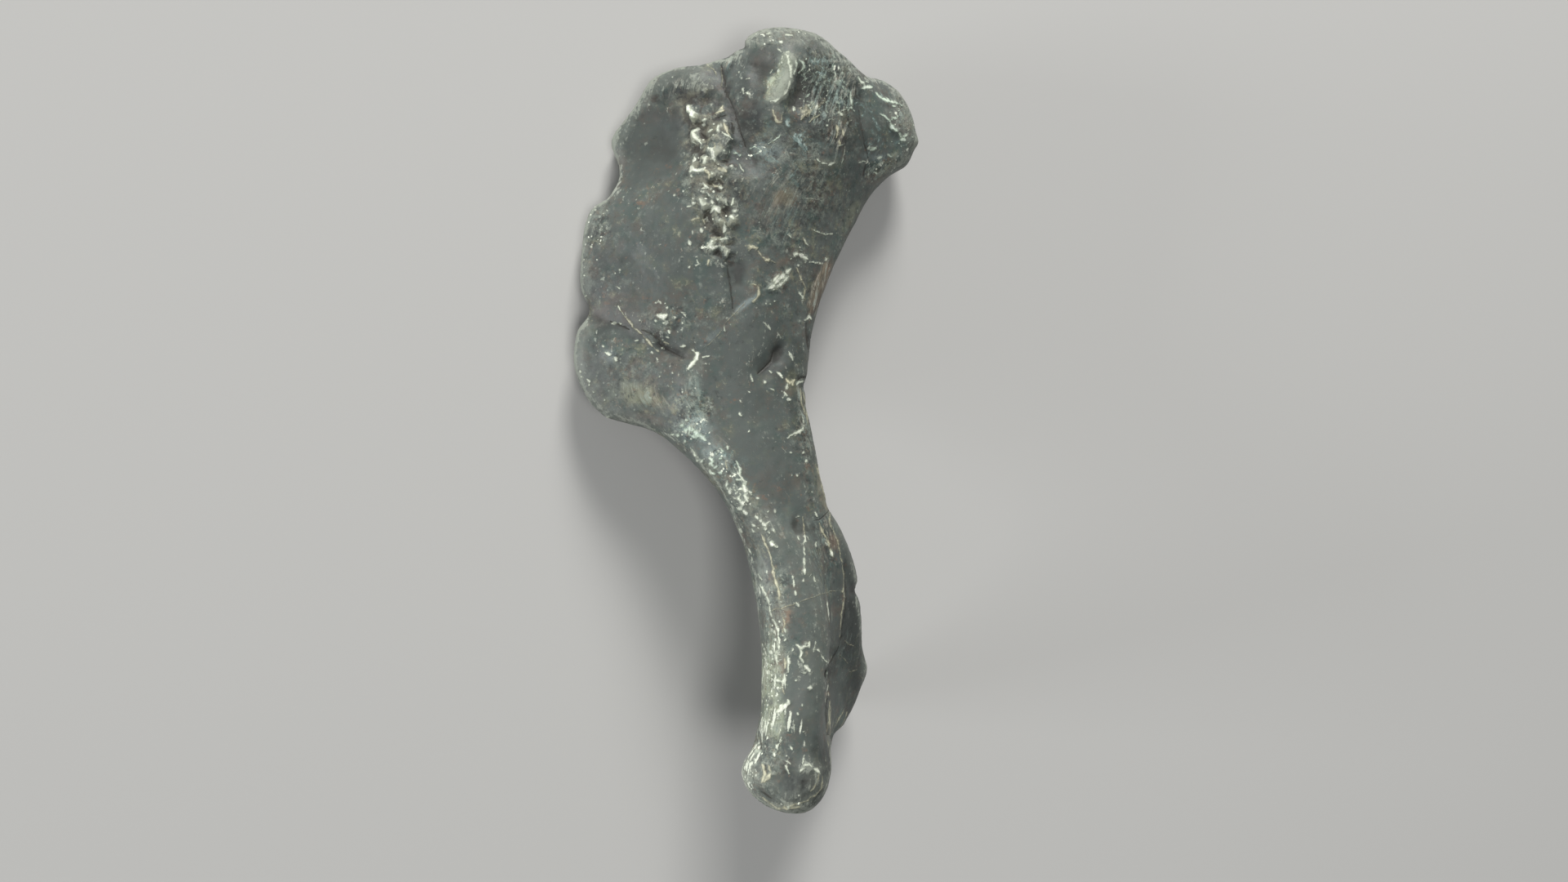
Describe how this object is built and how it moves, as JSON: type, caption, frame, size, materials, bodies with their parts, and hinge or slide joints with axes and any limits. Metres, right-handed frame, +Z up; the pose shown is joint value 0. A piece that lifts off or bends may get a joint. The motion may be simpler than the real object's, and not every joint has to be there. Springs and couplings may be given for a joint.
{
  "type": "fossil humerus",
  "caption": "Fossil left humerus of a small plant-eating dinosaur, with a broad notched crest at the upper end, a bowed shaft and a widened lower end.",
  "frame": {"origin": "middle of the base of the bounding box, on the surface that the bone lies on", "axes": "+Y along the bone towards its upper end, +X from the crest towards the inner tuberosity, +Z up, out of the outer face"},
  "size_m": [0.0766, 0.1618, 0.0425],
  "materials": {
    "fossil_bone": "satin"
  },
  "bodies": {
    "root": {"humerus": "fossil_bone"}
  },
  "joints": []
}
